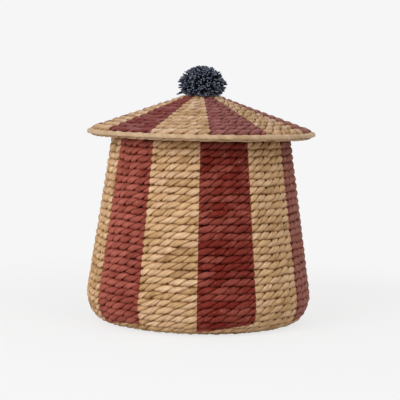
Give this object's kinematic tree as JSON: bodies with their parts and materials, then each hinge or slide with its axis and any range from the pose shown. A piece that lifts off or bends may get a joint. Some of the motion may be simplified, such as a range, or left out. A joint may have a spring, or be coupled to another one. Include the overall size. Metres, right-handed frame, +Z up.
{
  "type": "lidded basket",
  "caption": "Tent-shaped storage basket of twined plant fibre in painted stripes, with a loose conical lid that lifts off by a dark yarn pompom.",
  "frame": {"origin": "centre of the base, on the surface that the basket stands on", "axes": "+Z up along the axis of the basket and the lid; -Y is the side in the picture"},
  "size_m": [0.3986, 0.3994, 0.4497],
  "materials": {
    "fibre": "matte",
    "fibre_inside": "matte",
    "wrapping": "matte",
    "wire": "satin",
    "yarn": "matte",
    "tie_cord": "matte"
  },
  "bodies": {
    "basket": {"basket_frame": "wire", "base_weave": "fibre", "base_inner_weave": "fibre_inside", "wall_inner_weave": "fibre_inside", "wall_course_01": "fibre", "wall_course_02": "fibre", "wall_course_03": "fibre", "wall_course_04": "fibre", "wall_course_05": "fibre", "wall_course_06": "fibre", "wall_course_07": "fibre", "wall_course_08": "fibre", "wall_course_09": "fibre", "wall_course_10": "fibre", "wall_course_11": "fibre", "wall_course_12": "fibre", "wall_course_13": "fibre", "wall_course_14": "fibre", "wall_course_15": "fibre", "wall_course_16": "fibre", "wall_course_17": "fibre", "wall_course_18": "fibre", "wall_course_19": "fibre", "wall_course_20": "fibre", "wall_course_21": "fibre", "wall_course_22": "fibre", "wall_course_23": "fibre", "wall_course_24": "fibre", "wall_course_25": "fibre", "wall_course_26": "fibre", "wall_course_27": "fibre", "rim_border": "wrapping"},
    "lid": {"lid_frame": "wire", "lid_inner_weave": "fibre_inside", "lid_rim_border": "wrapping", "lid_course_01": "fibre", "lid_course_02": "fibre", "lid_course_03": "fibre", "lid_course_04": "fibre", "lid_course_05": "fibre", "lid_course_06": "fibre", "lid_course_07": "fibre", "lid_course_08": "fibre", "lid_course_09": "fibre", "lid_course_10": "fibre", "lid_course_11": "fibre", "lid_course_12": "fibre", "lid_course_13": "fibre", "lid_crown": "fibre", "pompom": "yarn", "pompom_tie": "tie_cord"}
  },
  "joints": [
    {"name": "lid_lift", "type": "slide", "parent": "basket", "child": "lid", "axis": [0, 0, 1], "range_m": [0, 0.2]}
  ]
}
